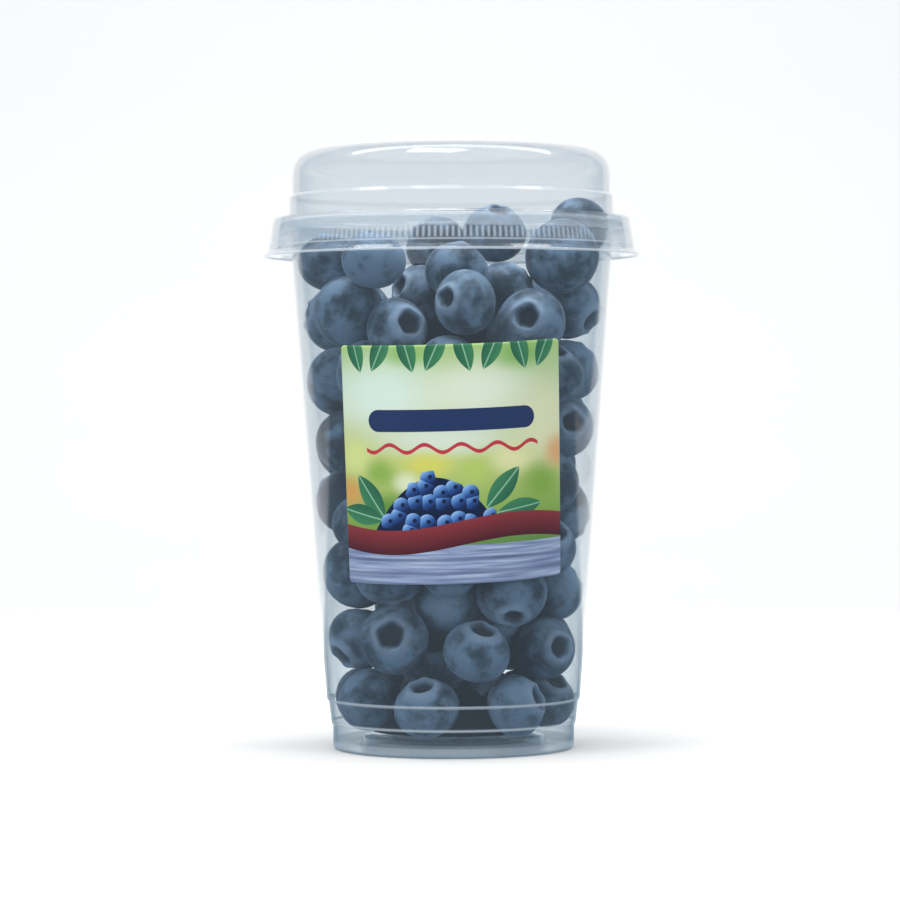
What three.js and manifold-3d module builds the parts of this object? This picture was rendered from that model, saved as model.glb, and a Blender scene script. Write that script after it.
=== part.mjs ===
// A tall clear shaker cup packed with blueberries, shut with a clear dome lid and carrying a label on its front.
// Millimetres, +Z up. The origin is the centre of the foot, on the surface the cup stands on, and the front faces -Y.
import * as THREE from "three";
import { mergeVertices } from "three/addons/utils/BufferGeometryUtils.js";
import Module from "manifold-3d";

const wasm = await Module();
wasm.setup();

const AROUND = 44; // straight sides round every turned piece
const DEGREE = Math.PI / 180;

// The cup: a raised floor inside a foot ring, a stacking step, a tapered wall and a rim that rolls out and down.
const WALL = 0.5;
const RECESS_RADIUS = 26.7;
const RECESS_HEIGHT = 3.4;
const RECESS_DRAFT = 0.8;
const RECESS_EDGE = 0.6; // the cut corner between the recess and the underside of the foot ring
const FOOT_RADIUS = 34.9;
const FOOT_FILLET = 1.4;
const FOOT_FILLET_STEPS = 3;
const FOOT_HEIGHT = 7.4;
const STEP_HEIGHT = 13.8;
const STEP_RADIUS = 36.5;
const NECK_HEIGHT = 150.8;
const NECK_RADIUS = 46.9;
const RIM_HEIGHT = 152.4;
const RIM_RADIUS = 49.9;
const RIM_DROP = 3.0;
const RIM_FILLET = 0.6;
const EDGE_STEPS = 2; // straight steps round the fillets of the rim and the lid's shoulder
const DRAFT = (NECK_RADIUS - STEP_RADIUS) / (NECK_HEIGHT - STEP_HEIGHT);

// The lid: a flat crown, a rounded edge, a dome wall with a bead, a shoulder over the rim, a skirt and a flange.
const LID_TOP = 173.0;
const CROWN_FILLET = 7.0;
const CROWN_STEPS = 5;
const DOME_RADIUS = 46.1;
const BEAD_HEIGHT = 160.2;
const BEAD_RISE = 0.8;
const COLLAR_RADIUS = 47.0;
const SHOULDER_HEIGHT = 153.5;
const SHOULDER_RADIUS = 51.5;
const SHOULDER_FILLET = 0.9;
const SKIRT_RADIUS = 53.1;
const SKIRT_HEIGHT = 143.9;
const FLANGE_RADIUS = 54.2;
const FLANGE_HEIGHT = 142.2;
const FLANGE_LIP = 0.7;

// The lift tab that hangs from the flange, left of the middle of the front.
const TAB_FROM = -14.5 * DEGREE;
const TAB_TO = -6.7 * DEGREE;
const TAB_DROP = 3.9;
const TAB_RADIUS = 53.4;
const TAB_CORNER = 1;
const TAB_COLUMNS = 4;

// The label, cut square and stuck on slightly turned.
const LABEL_WIDTH = 66.2;
const LABEL_HEIGHT = 67;
const LABEL_CORNER = 1.2;
const LABEL_MIDDLE = 82.8;
const LABEL_TURN = 1.6 * DEGREE;
const LABEL_THICKNESS = 0.25;
const LABEL_GAP = 0.3;
const LABEL_COLUMNS = 16;
const LABEL_ROWS = 3;
const LABEL_CORNER_STEPS = 3;

// The berries: flattened balls of uneven size, kept this far from the cup.
const BERRY_GAP = 0.5;
const BERRY_LEAST = 17.6;
const BERRY_SPREAD = 4.6;
const BERRY_FLATNESS = 0.8;
const BERRY_FLATNESS_SPREAD = 0.1;
const SHOWN_FLATNESS = 0.86;
const BERRY_SEED = 23;
const FLOOR_HEIGHT = RECESS_HEIGHT + WALL + BERRY_GAP;
const FILL_TOP = 139;
const FIRST_LAYER = 9; // the middle of the lowest berries above the floor
const LAYER_HEIGHT = 14.2;
const LAYER_UNEVEN = 5;
const LAYER_TURN = 2.4; // radians from the start of one layer's ring to the next
const TURN_UNEVEN = 0.2;
const RING_INSET = 10;
const RING_PITCH = 19;
const LEAST_SPACING = 12.5;
const SWEEPS = 420;
const SETTLE = 0.06;
const PUSH = 0.42;
const SHOWN_HOLD = 0.03; // how far a placed berry gives way, against 1 for the berries filled in round it

// The core that carries the berries that show.
const CORE_INSET = 8;
const CORE_BOTTOM = 9;
const CORE_TOP = 144.5;
const CORE_EDGE = 3;
const CORE_SIDES = 24;
const SHOWING_DEPTH = 6.5; // a berry that lies deeper than this behind the wall doesn't show
const BERRY_SIDES = 8;
const BERRY_ROWS = 5;

// Berries seen from the front: turn round the axis from the front and height, then inset from the wall, diameter,
// and the turn and lift of the blossom end. Degrees and millimetres.
const SHOWN_BERRIES = [
  [-54, 129.0, 0, 21.6, 150, 20],
  [-23, 119.0, 0, 18.2, 32, 14],
  [6, 128.0, 0, 18.8, -44, 8],
  [41, 122.0, 0, 20.2, -10, 12],
  [-80, 140.0, 0, 19.2, 170, 80],
  [-44, 136.5, 1, 19.0, 60, 80],
  [5, 137.0, 18, 18.6, 160, 60],
  [58, 133.0, 18, 18.0, 100, 50],
  [70, 142.5, 0, 22.4, 150, -20],
  [91, 120.5, 0, 19.2, 60, -30],
  [-95, 124.0, 0, 19.0, -80, 10],
  [-84, 105.5, 0, 20.8, -150, 0],
  [-72, 89.0, 0, 18.8, 170, 30],
  [-82, 72.0, 0, 19.8, -120, 30],
  [-80, 53.5, 0, 21.0, -170, 0],
  [-80, 32.5, 0, 19.0, -60, -40],
  [86, 108.5, 0, 18.6, 120, 40],
  [77, 95.0, 0, 18.6, 20, 10],
  [66, 80.5, 0, 19.0, 160, 0],
  [84, 65.5, 0, 20.2, 110, -20],
  [80, 48.0, 0, 19.0, 90, 30],
  [-34, 35.5, 0, 20.2, -6, 12],
  [36, 49.5, 0, 20.6, 4, -50],
  [-4, 42.0, 8, 19.4, 140, 30],
  [11, 32.5, 0, 19.4, 30, 60],
  [74, 34.5, 0, 18.2, 34, 4],
  [-69, 16.0, 0, 18.8, -150, 20],
  [-17, 15.5, 0, 19.0, -20, 60],
  [42, 14.0, 0, 18.6, 70, 20],
  [88, 14.5, 0, 18.2, 40, 50],
  [92, 151.0, 0, 17.4, 160, 30],
  [137, 149.5, 20, 19.0, 20, 60],
  [-170, 147.0, 19, 18.8, -100, 60],
  [-53, 132.0, 25, 18.0, -60, 20],
];

// A closed geometry as a solid, with shared corners merged and collapsed faces dropped.
function solidOf(geometry) {
  const plain = geometry.index ? geometry.toNonIndexed() : geometry.clone();
  plain.deleteAttribute("normal");
  plain.deleteAttribute("uv");
  const merged = mergeVertices(plain, 1e-4);
  const corners = merged.index.array;
  const kept = [];
  for (let i = 0; i < corners.length; i += 3) {
    const [a, b, c] = [corners[i], corners[i + 1], corners[i + 2]];
    if (a !== b && b !== c && c !== a) kept.push(a, b, c);
  }
  return new wasm.Manifold(
    new wasm.Mesh({
      numProp: 3,
      vertProperties: merged.attributes.position.array,
      triVerts: new Uint32Array(kept),
    }),
  );
}

// A solid back as a geometry.
function geometryOf(solid) {
  const mesh = solid.getMesh();
  const geometry = new THREE.BufferGeometry();
  geometry.setAttribute("position", new THREE.BufferAttribute(mesh.vertProperties, 3));
  geometry.setIndex(new THREE.BufferAttribute(mesh.triVerts, 1));
  return geometry;
}

// A profile of [radius, height] pairs, turned round the Z axis.
function turned(profile, around = AROUND) {
  const points = profile.map(([radius, height]) => new THREE.Vector2(radius, height));
  return solidOf(new THREE.LatheGeometry(points, around).rotateX(Math.PI / 2));
}

// Points on a quarter round, from one angle to another, about a centre.
function rounded(radius, height, fillet, from, to, steps) {
  return Array.from({ length: steps + 1 }, (_, i) => {
    const angle = from + ((to - from) * i) / steps;
    return [radius + fillet * Math.cos(angle), height + fillet * Math.sin(angle)];
  });
}

// A closed plate over a grid: place(i, j, side) gives each corner, with side 0 at the back and 1 in front.
function plate(columns, rows, place) {
  const positions = [];
  const corner = (i, j, side) => place(i, j, side);
  const face = (a, b, c, d) => positions.push(...a, ...b, ...c, ...a, ...c, ...d);
  for (let i = 0; i < columns; i++)
    for (let j = 0; j < rows; j++) {
      face(corner(i, j, 1), corner(i + 1, j, 1), corner(i + 1, j + 1, 1), corner(i, j + 1, 1));
      face(corner(i, j, 0), corner(i, j + 1, 0), corner(i + 1, j + 1, 0), corner(i + 1, j, 0));
    }
  for (let i = 0; i < columns; i++) {
    face(corner(i, 0, 0), corner(i + 1, 0, 0), corner(i + 1, 0, 1), corner(i, 0, 1));
    face(corner(i, rows, 1), corner(i + 1, rows, 1), corner(i + 1, rows, 0), corner(i, rows, 0));
  }
  for (let j = 0; j < rows; j++) {
    face(corner(0, j, 1), corner(0, j + 1, 1), corner(0, j + 1, 0), corner(0, j, 0));
    face(corner(columns, j, 0), corner(columns, j + 1, 0), corner(columns, j + 1, 1), corner(columns, j, 1));
  }
  const geometry = new THREE.BufferGeometry();
  geometry.setAttribute("position", new THREE.Float32BufferAttribute(positions, 3));
  return solidOf(geometry);
}

// A small repeatable random source: the same seed gives the same berries.
function randomFrom(seed) {
  let state = seed;
  return () => {
    state = (1664525 * state + 1013904223) % 4294967296;
    return state / 4294967296;
  };
}

// The cup's section runs from the middle of the raised floor up the outside, over the rim and back down the inside.
function makeCup() {
  const rim = RIM_HEIGHT - RIM_FILLET;
  const lip = RIM_HEIGHT - RIM_DROP;
  return turned([
    [0, RECESS_HEIGHT],
    [RECESS_RADIUS - RECESS_DRAFT, RECESS_HEIGHT],
    [RECESS_RADIUS, RECESS_EDGE],
    [RECESS_RADIUS + RECESS_EDGE, 0],
    ...rounded(FOOT_RADIUS - FOOT_FILLET, FOOT_FILLET, FOOT_FILLET, -Math.PI / 2, 0, FOOT_FILLET_STEPS),
    [FOOT_RADIUS, FOOT_HEIGHT],
    [STEP_RADIUS, STEP_HEIGHT],
    [NECK_RADIUS, NECK_HEIGHT],
    [NECK_RADIUS + RIM_FILLET, RIM_HEIGHT - WALL],
    [RIM_RADIUS - RIM_FILLET, RIM_HEIGHT - WALL],
    [RIM_RADIUS - WALL, rim - WALL],
    [RIM_RADIUS - WALL, lip],
    [RIM_RADIUS, lip],
    ...rounded(RIM_RADIUS - RIM_FILLET, rim, RIM_FILLET, 0, Math.PI / 2, EDGE_STEPS),
    [NECK_RADIUS, RIM_HEIGHT],
    [NECK_RADIUS - WALL, NECK_HEIGHT + WALL],
    [STEP_RADIUS - WALL, STEP_HEIGHT],
    [FOOT_RADIUS - WALL, FOOT_HEIGHT],
    [FOOT_RADIUS - WALL, FOOT_FILLET],
    [FOOT_RADIUS - FOOT_FILLET, WALL],
    [RECESS_RADIUS + RECESS_EDGE + WALL, WALL],
    [RECESS_RADIUS - RECESS_DRAFT + WALL, RECESS_HEIGHT + WALL],
    [0, RECESS_HEIGHT + WALL],
  ]);
}

// The lid's section, down the outside and back up the inside, with the lift tab added under the flange.
function makeLid() {
  const crown = DOME_RADIUS - CROWN_FILLET;
  const edge = LID_TOP - CROWN_FILLET;
  const shoulder = SHOULDER_RADIUS - SHOULDER_FILLET;
  const bend = SHOULDER_HEIGHT - SHOULDER_FILLET;
  const outside = [
    [0, LID_TOP],
    ...rounded(crown, edge, CROWN_FILLET, Math.PI / 2, 0, CROWN_STEPS),
    [DOME_RADIUS, BEAD_HEIGHT],
    [COLLAR_RADIUS, BEAD_HEIGHT - BEAD_RISE],
    [COLLAR_RADIUS, SHOULDER_HEIGHT],
    ...rounded(shoulder, bend, SHOULDER_FILLET, Math.PI / 2, 0, EDGE_STEPS),
    [SKIRT_RADIUS, SKIRT_HEIGHT],
    [FLANGE_RADIUS, FLANGE_HEIGHT + FLANGE_LIP],
    [FLANGE_RADIUS, FLANGE_HEIGHT],
  ];
  const inside = [
    [FLANGE_RADIUS - WALL, FLANGE_HEIGHT],
    [SKIRT_RADIUS - WALL, SKIRT_HEIGHT - WALL],
    [SHOULDER_RADIUS - WALL, bend],
    [shoulder, SHOULDER_HEIGHT - WALL],
    [COLLAR_RADIUS - WALL, SHOULDER_HEIGHT - WALL],
    [COLLAR_RADIUS - WALL, BEAD_HEIGHT - BEAD_RISE - WALL],
    [DOME_RADIUS - WALL, BEAD_HEIGHT - WALL],
    ...rounded(crown, edge, CROWN_FILLET - WALL, 0, Math.PI / 2, CROWN_STEPS),
    [0, LID_TOP - WALL],
  ];
  return turned([...outside, ...inside].reverse()).add(makeTab());
}

// The tab is a curved plate under the flange, with its lower corners cut off.
function makeTab() {
  const top = FLANGE_HEIGHT + WALL;
  return plate(TAB_COLUMNS, 1, (i, j, side) => {
    const angle = TAB_FROM + ((TAB_TO - TAB_FROM) * i) / TAB_COLUMNS;
    const radius = TAB_RADIUS + WALL * side;
    const cut = i === 0 || i === TAB_COLUMNS ? TAB_CORNER : 0;
    const bottom = FLANGE_HEIGHT - TAB_DROP + cut;
    return [radius * Math.sin(angle), -radius * Math.cos(angle), j === 1 ? top : bottom];
  });
}

// A flat rectangle with rounded corners, rolled onto the tapered wall about the point where its sides would meet.
function makeLabel() {
  const halfWidth = LABEL_WIDTH / 2;
  const halfHeight = LABEL_HEIGHT / 2;
  const slope = Math.atan(DRAFT);
  const flatHalf = halfWidth - LABEL_CORNER;
  const corner = rounded(flatHalf, 0, LABEL_CORNER, Math.PI / 2, 0, LABEL_CORNER_STEPS).map(([u]) => u);
  const flat = Array.from({ length: LABEL_COLUMNS + 1 }, (_, i) => flatHalf * ((2 * i) / LABEL_COLUMNS - 1));
  const right = corner.slice(1);
  const across = [...right.map((u) => -u).reverse(), ...flat, ...right];
  return plate(across.length - 1, LABEL_ROWS, (i, j, side) => {
    const u = across[i];
    const into = Math.max(Math.abs(u) - flatHalf, 0);
    const reach = halfHeight - LABEL_CORNER + Math.sqrt(Math.max(LABEL_CORNER ** 2 - into ** 2, 0));
    const v = reach * ((2 * j) / LABEL_ROWS - 1);
    const turnedU = u * Math.cos(LABEL_TURN) - v * Math.sin(LABEL_TURN);
    const turnedV = u * Math.sin(LABEL_TURN) + v * Math.cos(LABEL_TURN);
    const outside = LABEL_GAP + LABEL_THICKNESS * side;
    const middleRadius = STEP_RADIUS + DRAFT * (LABEL_MIDDLE - STEP_HEIGHT);
    const toPoint = middleRadius / Math.sin(slope);
    const along = Math.hypot(turnedU, toPoint + turnedV);
    const angle = Math.atan2(turnedU, toPoint + turnedV) / Math.sin(slope);
    const radius = along * Math.sin(slope) + outside;
    const height = LABEL_MIDDLE + (along - toPoint) * Math.cos(slope);
    return [radius * Math.sin(angle), -radius * Math.cos(angle), height];
  });
}

// How far from the axis the berries' room reaches at a height.
function roomRadius(height) {
  const cupRoom = STEP_RADIUS + DRAFT * (height - STEP_HEIGHT);
  return Math.min(cupRoom, NECK_RADIUS) - WALL - BERRY_GAP;
}

// A berry is a ball pressed flat along the line to its blossom end; hold is how freely it gives way to the others.
function berry(x, y, z, diameter, flatness, turn, lift, hold) {
  return {
    at: [x, y, z],
    end: [Math.sin(turn) * Math.cos(lift), -Math.cos(turn) * Math.cos(lift), Math.sin(lift)],
    across: diameter / 2,
    tall: (diameter / 2) * flatness,
    hold,
  };
}

// How far a berry reaches from its middle in the direction (nx, ny, nz).
function reachOf(b, nx, ny, nz) {
  const lean = b.end[0] * nx + b.end[1] * ny + b.end[2] * nz;
  return Math.sqrt(b.across ** 2 * (1 - lean * lean) + b.tall ** 2 * lean * lean);
}

// The placed berries, then rings of others wherever there is still room.
function layOutBerries() {
  const random = randomFrom(BERRY_SEED);
  const berries = SHOWN_BERRIES.map(([turn, height, inset, diameter, endTurn, endLift]) => {
    const out = roomRadius(height) - diameter / 2 - inset;
    const [x, y] = [out * Math.sin(turn * DEGREE), -out * Math.cos(turn * DEGREE)];
    return berry(x, y, height, diameter, SHOWN_FLATNESS, endTurn * DEGREE, endLift * DEGREE, SHOWN_HOLD);
  });
  const layers = Math.ceil(FILL_TOP / LAYER_HEIGHT) + 1;
  for (let layer = 0; layer < layers; layer++) {
    const height = FLOOR_HEIGHT + FIRST_LAYER + LAYER_HEIGHT * layer;
    const outer = roomRadius(height) - RING_INSET;
    for (const out of [outer, outer - RING_PITCH]) {
      const count = Math.max(2, Math.floor((2 * Math.PI * out) / RING_PITCH));
      for (let k = 0; k < count; k++) {
        const turn = LAYER_TURN * layer + (2 * Math.PI * k) / count + TURN_UNEVEN * random();
        const z = height + LAYER_UNEVEN * (random() - 0.5);
        const diameter = BERRY_LEAST + BERRY_SPREAD * random();
        const flatness = BERRY_FLATNESS + BERRY_FLATNESS_SPREAD * random();
        const endTurn = 2 * Math.PI * random();
        const endLift = Math.asin(2 * random() - 1);
        const [x, y] = [out * Math.sin(turn), -out * Math.cos(turn)];
        const near = (b) => Math.hypot(b.at[0] - x, b.at[1] - y, b.at[2] - z) < LEAST_SPACING;
        if (z < FILL_TOP && !berries.some(near)) berries.push(berry(x, y, z, diameter, flatness, endTurn, endLift, 1));
      }
    }
  }
  return berries;
}

// Pushes overlapping berries apart, lets them settle, and keeps them inside the room, sweep by sweep.
function settleBerries(berries) {
  const normalLength = Math.hypot(1, DRAFT);
  for (let sweep = 0; sweep < SWEEPS; sweep++) {
    const moves = berries.map(() => [0, 0, 0]);
    for (let i = 0; i < berries.length; i++)
      for (let j = 0; j < i; j++) {
        const [a, b] = [berries[i], berries[j]];
        const [dx, dy, dz] = [a.at[0] - b.at[0], a.at[1] - b.at[1], a.at[2] - b.at[2]];
        const apart = Math.sqrt(dx * dx + dy * dy + dz * dz);
        if (apart > a.across + b.across) continue;
        const [nx, ny, nz] = [dx / apart, dy / apart, dz / apart];
        const overlap = reachOf(a, nx, ny, nz) + reachOf(b, nx, ny, nz) - apart;
        if (overlap <= 0) continue;
        const share = (PUSH * overlap) / (a.hold + b.hold);
        [nx, ny, nz].forEach((n, k) => {
          moves[i][k] += n * share * a.hold;
          moves[j][k] -= n * share * b.hold;
        });
      }
    const settle = SETTLE * (1 - sweep / SWEEPS);
    berries.forEach((b, i) => {
      b.at[0] += moves[i][0];
      b.at[1] += moves[i][1];
      b.at[2] += moves[i][2] - settle * b.hold;
      const out = Math.hypot(b.at[0], b.at[1]);
      const [nx, ny, nz] = [b.at[0] / out / normalLength, b.at[1] / out / normalLength, -DRAFT / normalLength];
      const past = reachOf(b, nx, ny, nz) - (roomRadius(b.at[2]) - out) / normalLength;
      if (past > 0) {
        b.at[0] -= nx * past;
        b.at[1] -= ny * past;
        b.at[2] -= nz * past;
      }
      b.at[2] = Math.max(b.at[2], FLOOR_HEIGHT + reachOf(b, 0, 0, 1));
    });
  }
  return berries;
}

// One berry with few sides, its short axis along the line to its blossom end.
function berrySolid(b) {
  const ball = new THREE.SphereGeometry(1, BERRY_SIDES, BERRY_ROWS).rotateX(Math.PI / 2);
  ball.scale(b.across, b.across, b.tall);
  const turn = new THREE.Quaternion().setFromUnitVectors(new THREE.Vector3(0, 0, 1), new THREE.Vector3(...b.end));
  return solidOf(ball.applyQuaternion(turn).translate(...b.at));
}

// The berries that show at the wall, on top and underneath, fused onto a smaller core.
function makeHeap() {
  const berries = settleBerries(layOutBerries());
  const shows = (b) => {
    const depth = roomRadius(b.at[2]) - Math.hypot(b.at[0], b.at[1]) - b.across;
    return depth < SHOWING_DEPTH || b.at[2] + b.across > CORE_TOP || b.at[2] < CORE_BOTTOM + b.tall;
  };
  const core = turned(
    [
      [0, CORE_BOTTOM],
      [roomRadius(CORE_BOTTOM) - CORE_INSET, CORE_BOTTOM],
      [roomRadius(CORE_TOP) - CORE_INSET, CORE_TOP - CORE_EDGE],
      [roomRadius(CORE_TOP) - CORE_INSET - CORE_EDGE, CORE_TOP],
      [0, CORE_TOP],
    ],
    CORE_SIDES,
  );
  return berries.filter(shows).reduce((heap, b) => heap.add(berrySolid(b)), core);
}

// A named piece in its own colour.
function piece(name, solid, colour, roughness, opacity = 1) {
  const material = new THREE.MeshStandardMaterial({ color: colour, roughness, metalness: 0 });
  material.transparent = opacity < 1;
  material.opacity = opacity;
  const mesh = new THREE.Mesh(geometryOf(solid), material);
  mesh.name = name;
  return mesh;
}

const punnet = new THREE.Group();
punnet.add(
  piece("cup", makeCup(), 0xdfe7ec, 0.08, 0.25),
  piece("lid", makeLid(), 0xdfe7ec, 0.08, 0.25),
  piece("front_label", makeLabel(), 0xd6e08e, 0.35),
  piece("blueberries", makeHeap(), 0x3f4a5e, 0.6),
);

export default punnet;
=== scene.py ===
"""A tall clear cup of blueberries, shut with a clear dome lid and labelled on its front.

Laid out as a Blender add-on and run as a script. Everything is in metres, +Z up, with the front facing -Y.
"""
import math

import bpy
import numpy as np
from bpy.props import FloatProperty, FloatVectorProperty, IntProperty, PointerProperty
from bpy.types import Operator, Panel, PropertyGroup
from mathutils import Matrix, Vector


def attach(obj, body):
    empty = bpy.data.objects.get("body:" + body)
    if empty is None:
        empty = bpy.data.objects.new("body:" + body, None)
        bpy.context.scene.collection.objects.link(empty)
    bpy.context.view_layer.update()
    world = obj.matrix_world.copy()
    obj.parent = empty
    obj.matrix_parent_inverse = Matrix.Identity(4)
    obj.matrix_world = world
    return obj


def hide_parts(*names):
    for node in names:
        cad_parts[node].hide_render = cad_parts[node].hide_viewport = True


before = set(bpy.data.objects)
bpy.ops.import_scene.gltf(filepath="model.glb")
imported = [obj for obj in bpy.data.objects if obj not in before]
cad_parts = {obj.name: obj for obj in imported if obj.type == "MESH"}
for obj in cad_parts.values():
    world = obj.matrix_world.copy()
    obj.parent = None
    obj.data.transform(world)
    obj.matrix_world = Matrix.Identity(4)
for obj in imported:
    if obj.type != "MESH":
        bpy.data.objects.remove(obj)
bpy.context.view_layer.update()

bl_info = {
    "name": "Cup of blueberries",
    "version": (1, 0, 0),
    "blender": (4, 5, 0),
    "location": "3D View > Sidebar > Blueberries",
    "description": "Makes a clear lidded cup of blueberries, its label and its stage",
    "category": "Add Mesh",
}

MM = 0.001
DEGREE = math.pi / 180
BODY = "root"

# Kinds of node, and settings, that the materials use again and again.
MATH = "ShaderNodeMath"
VECTOR_MATH = "ShaderNodeVectorMath"
MAP_RANGE = "ShaderNodeMapRange"
SPLIT = "ShaderNodeSeparateXYZ"
PRINCIPLED = "ShaderNodeBsdfPrincipled"
ADD = {"operation": "ADD"}
SUBTRACT = {"operation": "SUBTRACT"}
MULTIPLY = {"operation": "MULTIPLY"}
MULTIPLY_ADD = {"operation": "MULTIPLY_ADD"}
ABSOLUTE = {"operation": "ABSOLUTE"}
SINE = {"operation": "SINE"}
LESS_THAN = {"operation": "LESS_THAN"}
COMPARE = {"operation": "COMPARE"}
LENGTH = {"operation": "LENGTH"}
SMOOTH = {"interpolation_type": "SMOOTHSTEP"}

# How finely the turned walls, the lift tab and the label are drawn.
TURN_STEPS = 240
FILLET_STEPS = 7
TAB_ROWS = 9
TAB_COLUMNS = 25
LABEL_STEPS = 97

# The berries that are seen from the front: turn round the axis from the front, height, inset from the wall,
# diameter, and the turn and lift of the blossom end. Degrees and millimetres, as in the part's source.
SHOWN_BERRIES = (
    (-54, 129, 0, 21.6, 150, 20), (-23, 119, 0, 18.2, 32, 14), (6, 128, 0, 18.8, -44, 8),
    (41, 122, 0, 20.2, -10, 12), (-80, 140, 0, 19.2, 170, 80), (-44, 136.5, 1, 19, 60, 80),
    (5, 137, 18, 18.6, 160, 60), (58, 133, 18, 18, 100, 50), (70, 142.5, 0, 22.4, 150, -20),
    (91, 120.5, 0, 19.2, 60, -30), (-95, 124, 0, 19, -80, 10), (-84, 105.5, 0, 20.8, -150, 0),
    (-72, 89, 0, 18.8, 170, 30), (-82, 72, 0, 19.8, -120, 30), (-80, 53.5, 0, 21, -170, 0),
    (-80, 32.5, 0, 19, -60, -40), (86, 108.5, 0, 18.6, 120, 40), (77, 95, 0, 18.6, 20, 10),
    (66, 80.5, 0, 19, 160, 0), (84, 65.5, 0, 20.2, 110, -20), (80, 48, 0, 19, 90, 30),
    (-34, 35.5, 0, 20.2, -6, 12), (36, 49.5, 0, 20.6, 4, -50), (-4, 42, 8, 19.4, 140, 30),
    (11, 32.5, 0, 19.4, 30, 60), (74, 34.5, 0, 18.2, 34, 4), (-69, 16, 0, 18.8, -150, 20),
    (-17, 15.5, 0, 19, -20, 60), (42, 14, 0, 18.6, 70, 20), (88, 14.5, 0, 18.2, 40, 50),
    (92, 151, 0, 17.4, 160, 30), (137, 149.5, 20, 19, 20, 60), (-170, 147, 19, 18.8, -100, 60),
    (-53, 132, 25, 18, -60, 20),
)

# Where the formed sheet is milky: height in millimetres and the share of light it scatters there.
CUP_MILK = (
    (0, 0.2), (2.6, 0.18), (3, 0.02), (7.4, 0.02), (7.6, 0.4), (8, 0.4), (8.3, 0.02), (13.9, 0.02),
    (14.2, 0.4), (14.7, 0.4), (15, 0.015), (60, 0.015),
)
LID_MILK = (
    (138, 0.03), (142.1, 0.03), (142.3, 0.32), (142.8, 0.32), (143, 0.03), (144.9, 0.03), (145.1, 0.22),
    (145.4, 0.22), (145.6, 0.03), (148.8, 0.03), (149.1, 0.18), (151.2, 0.12), (152.4, 0.2), (152.9, 0.03),
    (153.4, 0.03), (154, 0.02), (158.8, 0.02), (159.4, 0.08), (160.3, 0.08), (160.8, 0.02), (173, 0.02),
)
RIB_BAND = ((145.6, 0), (145.9, 1), (148.6, 1), (148.9, 0))
RIB_SHARE = 0.18

# The share of red, green and blue that each face of the sheet lets through, and its mirror face on.
CUP_TINT = (0.9, 0.925, 0.938, 1)
LID_TINT = (0.948, 0.96, 0.968, 1)
MIRROR_FACE_ON = 0.049
SHEET_ROUGHNESS = 0.06

# The label's art, in millimetres from its middle and degrees: the middle, half sizes and colour of each soft
# spot, the middle, half sizes and turn of each leaf beside the heap, then the rest from the top down.
GARDEN_SPOTS = (
    ((-20, 20), (22, 13), "DFEBDC"), ((8, 21), (20, 10), "E6E8D0"), ((28, 10), (14, 16), "E4DFB4"),
    ((-2, 7), (26, 6), "DDE3D0"), ((-29, 2), (8, 7), "D8DC8A"), ((-21, -2), (6, 5), "88AC44"),
    ((-7, 0), (9, 5), "DCD25C"), ((6, -2), (6, 5), "B4C860"), ((17, 1), (8, 6), "E9E2A8"),
    ((26, -6), (8, 7), "7EA53C"), ((32, 2), (6, 6), "E0A06A"), ((-31, -8), (6, 6), "DB9A54"),
    ((-13, -5), (5, 4), "E6E6C0"), ((-18, -13), (8, 6), "55862F"), ((20, 30), (10, 5), "7FAE55"),
    ((-12, 31), (9, 4), "8DB860"),
)
SPRIGS = (
    ((-24, -9), (7.5, 3), 125), ((-27, -14), (7, 2.8), 168),
    ((14, -7), (7.5, 3), 48), ((19, -13), (7, 2.6), 8),
)
GARDEN_REACH = (-24.0, 33.0)
TOP_LEAVES = range(-28, 29, 8)
TOP_LEAVES_HEIGHT = 32
TOP_LEAF_HALF = (6.4, 2.6)
TOP_LEAF_TURNS = (-75, -115)
BAR_MIDDLE = (0, 12.4)
BAR_HALF = (21.0, 3.1)
WAVE_MIDDLE = (0, 4.6)
WAVE_HALF = (25.0, 0.55)
WAVE_PACE, WAVE_SWING = 0.62, 1.1
HEAP_TOP = -2.5
HEAP_SHADE_TOP = -3.5
HEAP_MIDDLE = -5
HEAP_HALF = 19
HEAP_FALL = 17.0
HEAP_FOOT = -18.5
RIBBON_TOP = -16.2
RIBBON_FOOT = -23.0
RIBBON_PACE, RIBBON_SWING = 0.085, 2.2
PLANKS_TOP = -22.6
PLANK_JOINTS = (-26.6, -30.4)

# The lift tab's turn round the axis from the front, in degrees, and how square its lower corners are.
TAB_TURN = -10.6
TAB_SQUARENESS = 6

# How the rest are laid in rings and settled, in millimetres, as in the part's source.
BERRY_GAP = 0.5
BERRY_LEAST = 17.6
BERRY_SPREAD = 4.6
BERRY_FLATNESS = 0.8
FLATNESS_SPREAD = 0.1
SHOWN_FLATNESS = 0.86
FILL_TOP = 139
FIRST_LAYER = 9
LAYER_HEIGHT = 14.2
LAYER_UNEVEN = 5
LAYER_TURN = 2.4
TURN_UNEVEN = 0.2
RING_INSET = 10
RING_PITCH = 19
LEAST_SPACING = 12.5
SWEEPS = 420
SETTLE = 0.06
PUSH = 0.42
SHOWN_HOLD = 0.03

# How one berry is drawn: rows over its blossom end, rows over the rest, and columns round it.
CROWN_ROWS = 13
BODY_ROWS = 16
BERRY_COLUMNS = 40
BERRIES_A_PIECE = 36

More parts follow.
